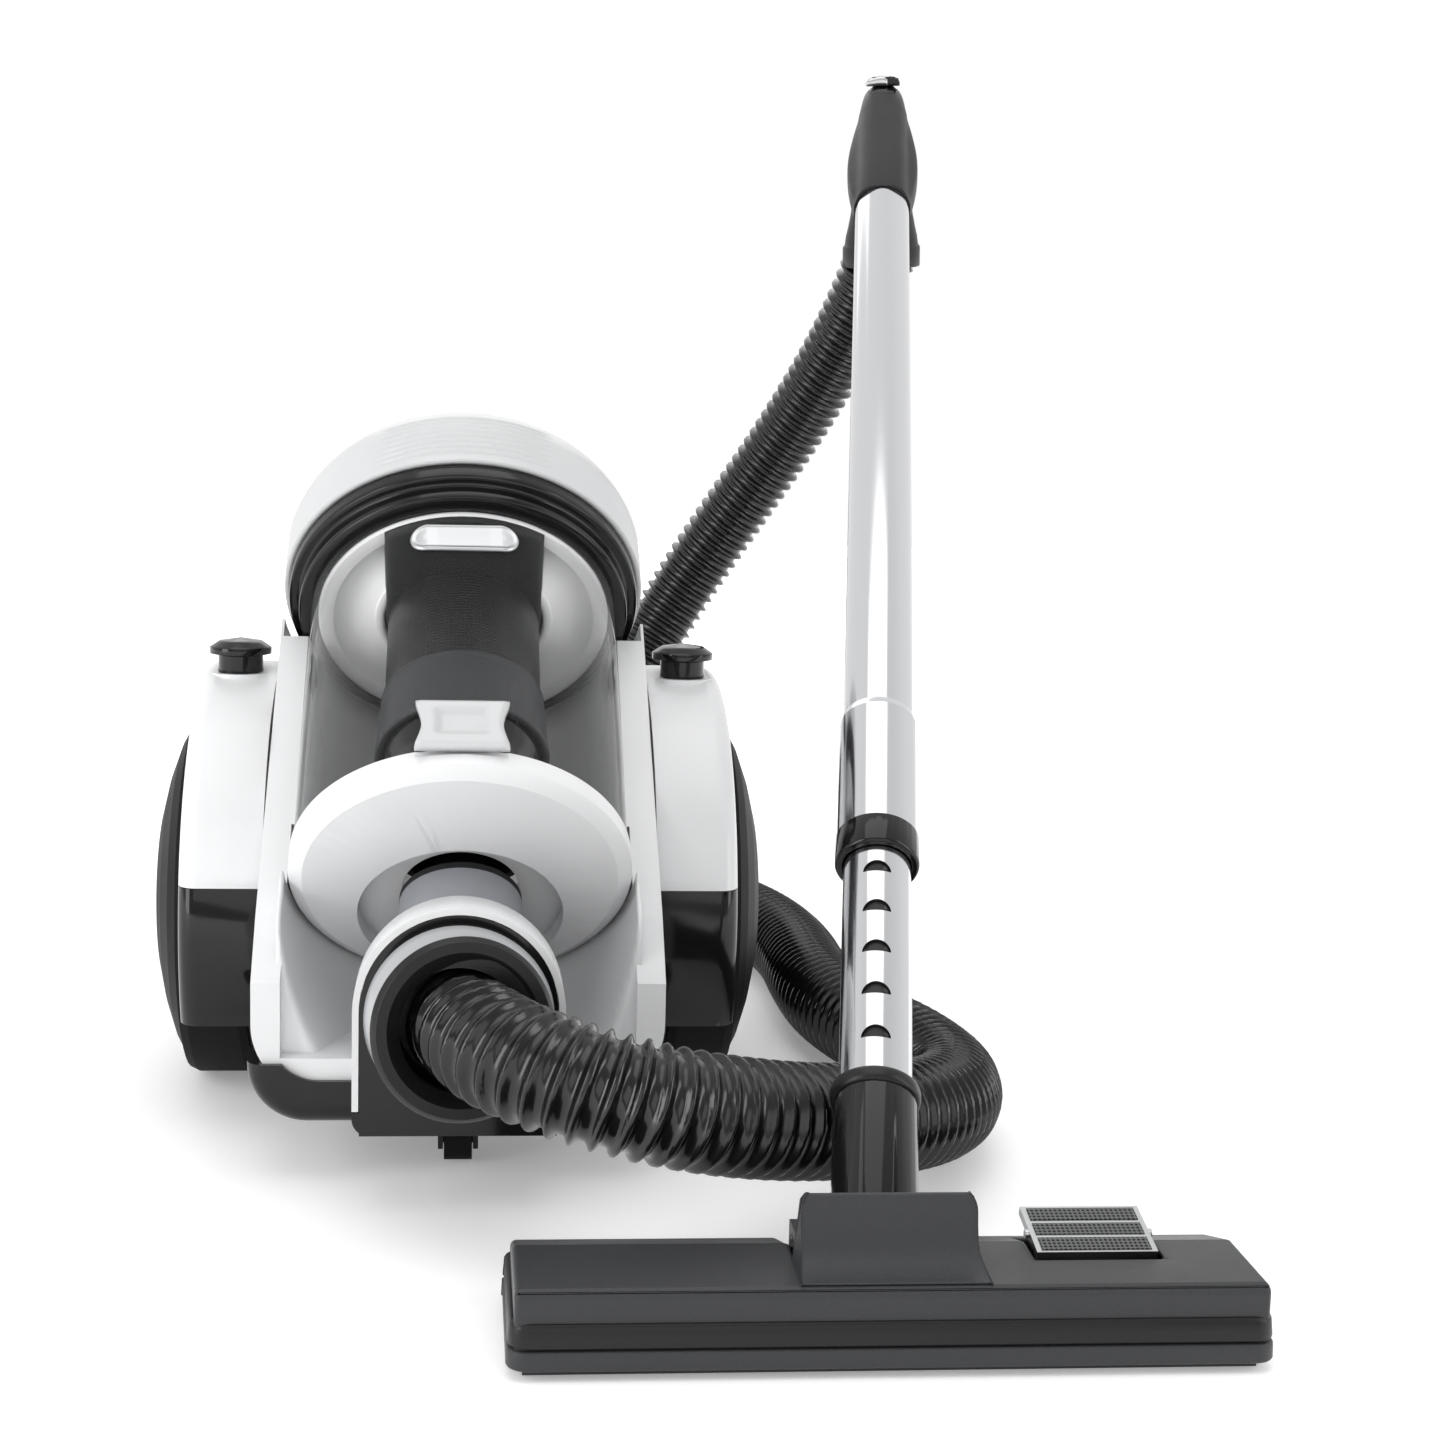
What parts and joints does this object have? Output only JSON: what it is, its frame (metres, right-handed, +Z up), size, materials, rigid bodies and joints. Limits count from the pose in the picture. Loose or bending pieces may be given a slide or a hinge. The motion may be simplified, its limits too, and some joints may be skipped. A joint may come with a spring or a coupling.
{
  "type": "canister vacuum cleaner",
  "caption": "Bagless canister vacuum cleaner on two large wheels, with a leaning clear dust container, corrugated hose, chromed telescopic wand and a wide floor nozzle.",
  "frame": {"origin": "on the floor, under the middle of the object's box measured without the hose", "axes": "+Z up; front of the canister and of the nozzle towards -Y; +X to the side where the wand stands"},
  "size_m": [0.4394, 0.8337, 0.5354],
  "materials": {
    "white_gloss": "glossy moulded ABS",
    "black_gloss": "glossy moulded ABS",
    "black_satin": "satin moulded plastic",
    "dark_grey_plastic": "matt grained plastic",
    "mid_grey_plastic": "satin moulded plastic",
    "clear_smoke": "clear polycarbonate with a faint cool tint",
    "tyre_rubber": "soft black rubber",
    "seal_rubber": "soft seal rubber",
    "duct_grey": "satin plastic",
    "collar_grey": "semi-gloss plastic",
    "hose_plastic": "glossy flexible plastic over a spiral",
    "chrome_tube": "polished chromed steel",
    "pedal_metal": "brushed stainless plate",
    "badge_silver": "satin silver plate",
    "mesh_metal": "perforated stainless sheet",
    "filter_white": "pleated non-woven fabric",
    "filter_foam": "open-cell foam",
    "brush_hair": "nylon bristle in a holder",
    "motor_iron": "machined core and copper windings",
    "steel_plain": "plain turned steel"
  },
  "bodies": {
    "canister": {"lower_chassis": "black_gloss", "fender_left": "white_gloss", "fender_right": "white_gloss", "main_shell": "white_gloss", "snout_plate": "black_gloss", "inlet_duct": "duct_grey", "inlet_seal": "seal_rubber", "motor_housing": "dark_grey_plastic", "motor_bearing": "steel_plain", "pre_motor_filter": "filter_foam", "reel_axle": "steel_plain", "power_switch": "black_satin", "exhaust_filter": "filter_white", "cord_outlet": "black_satin", "chassis_screws": "steel_plain", "wheel_axles": "steel_plain", "hose": "hose_plastic", "hose_collar": "collar_grey", "hose_cuff": "black_satin", "outer_tube": "chrome_tube", "guide_bush": "black_satin", "handle_grip": "dark_grey_plastic", "handle_cuff": "black_satin"},
    "left_wheel": {"wheel_left": "black_gloss", "tyre_left": "tyre_rubber", "hub_cap_left": "black_gloss"},
    "right_wheel": {"wheel_right": "black_gloss", "tyre_right": "tyre_rubber", "hub_cap_right": "black_gloss"},
    "caster": {"caster_fork": "black_satin"},
    "caster_wheel": {"caster_roller": "tyre_rubber"},
    "power_push": {"power_button": "black_gloss"},
    "rewind_push": {"rewind_button": "black_gloss"},
    "container": {"container_bin": "clear_smoke", "container_ring": "black_gloss", "container_base": "white_gloss", "cyclone": "black_gloss", "mesh_screen": "mesh_metal", "filter_cartridge": "filter_white", "badge": "badge_silver", "cowl": "white_gloss"},
    "latch": {"base_latch": "white_gloss"},
    "lower_wand": {"inner_tube": "chrome_tube", "nozzle_neck": "black_gloss"},
    "sleeve": {"release_sleeve": "chrome_tube", "sleeve_ring": "black_gloss"},
    "nozzle": {"nozzle_cover": "mid_grey_plastic", "bumper": "tyre_rubber", "sole_plate": "mid_grey_plastic", "hood": "mid_grey_plastic"},
    "pedal": {"foot_pedal": "pedal_metal"},
    "brushes": {"brush_strips": "brush_hair"},
    "left_roller": {"nozzle_roller_left": "black_satin"},
    "right_roller": {"nozzle_roller_right": "black_satin"},
    "regulator": {"suction_regulator": "black_satin"},
    "rotor": {"motor_rotor": "motor_iron"},
    "reel": {"cord_reel": "black_satin"},
    "grille": {"exhaust_grille": "black_satin"}
  },
  "joints": [
    {"name": "wheel_left_spin", "type": "hinge", "parent": "canister", "child": "left_wheel", "pos_m": [-0.183, -0.01, 0.088], "axis": [1, 0, 0], "continuous": true},
    {"name": "wheel_right_spin", "type": "hinge", "parent": "canister", "child": "right_wheel", "pos_m": [0.043, -0.01, 0.088], "axis": [1, 0, 0], "continuous": true},
    {"name": "caster_swivel", "type": "hinge", "parent": "canister", "child": "caster", "pos_m": [-0.07, -0.16, 0.03], "axis": [0, 0, 1], "continuous": true},
    {"name": "caster_roll", "type": "hinge", "parent": "caster", "child": "caster_wheel", "pos_m": [-0.07, -0.152, 0.009], "axis": [1, 0, 0], "continuous": true},
    {"name": "power_button_press", "type": "slide", "parent": "canister", "child": "power_push", "axis": [0, 0, -1], "range_m": [0, 0.0035], "stiffness_N_per_m": 400, "springref_m": -0.002},
    {"name": "rewind_button_press", "type": "slide", "parent": "canister", "child": "rewind_push", "axis": [0, 0, -1], "range_m": [0, 0.0035], "stiffness_N_per_m": 400, "springref_m": -0.002},
    {"name": "container_lift", "type": "slide", "parent": "canister", "child": "container", "axis": [0, 0.7604, 0.6494], "range_m": [0, 0.12]},
    {"name": "base_latch_pull", "type": "hinge", "parent": "container", "child": "latch", "pos_m": [-0.07, -0.1824, 0.19949], "axis": [-1, 0, 0], "range_deg": [0, 10], "stiffness_Nm_per_rad": 0.2, "springref_deg": -5.73},
    {"name": "telescope", "type": "slide", "parent": "canister", "child": "lower_wand", "axis": [0.1354, 0.7761, 0.6159], "range_m": [-0.22, 0.01]},
    {"name": "sleeve_release", "type": "slide", "parent": "canister", "child": "sleeve", "axis": [-0.1354, -0.7761, -0.6159], "range_m": [0, 0.006], "stiffness_N_per_m": 800, "springref_m": -0.002},
    {"name": "nozzle_tilt", "type": "hinge", "parent": "lower_wand", "child": "nozzle", "pos_m": [0.077, -0.3315, 0.029], "axis": [1, 0, 0], "range_deg": [-30, 26]},
    {"name": "pedal_rock", "type": "hinge", "parent": "nozzle", "child": "pedal", "pos_m": [0.1525, -0.3315, 0.0336], "axis": [1, 0, 0], "range_deg": [-14, 0]},
    {"name": "brush_lower", "type": "slide", "parent": "nozzle", "child": "brushes", "axis": [0, 0, -1], "range_m": [0, 0.0045]},
    {"name": "nozzle_roller_left_spin", "type": "hinge", "parent": "nozzle", "child": "left_roller", "pos_m": [-0.023, -0.3137, 0.0045], "axis": [1, 0, 0], "continuous": true},
    {"name": "nozzle_roller_right_spin", "type": "hinge", "parent": "nozzle", "child": "right_roller", "pos_m": [0.177, -0.3137, 0.0045], "axis": [1, 0, 0], "continuous": true},
    {"name": "suction_regulator_slide", "type": "slide", "parent": "canister", "child": "regulator", "axis": [0.1862, 0.9725, 0.1397], "range_m": [0, 0.0115]},
    {"name": "motor_spin", "type": "hinge", "parent": "canister", "child": "rotor", "pos_m": [-0.092, 0.076, 0.098], "axis": [1, 0, 0], "continuous": true},
    {"name": "cord_reel_spin", "type": "hinge", "parent": "canister", "child": "reel", "pos_m": [-0.136, 0, 0.084], "axis": [1, 0, 0], "continuous": true},
    {"name": "exhaust_grille_open", "type": "hinge", "parent": "canister", "child": "grille", "pos_m": [-0.07, 0.1499, 0.1135], "axis": [-1, 0, 0], "range_deg": [0, 60]}
  ],
  "couplings": [
    {"joint": "brush_lower", "follows": "pedal_rock", "m_per_rad": -0.0184}
  ]
}
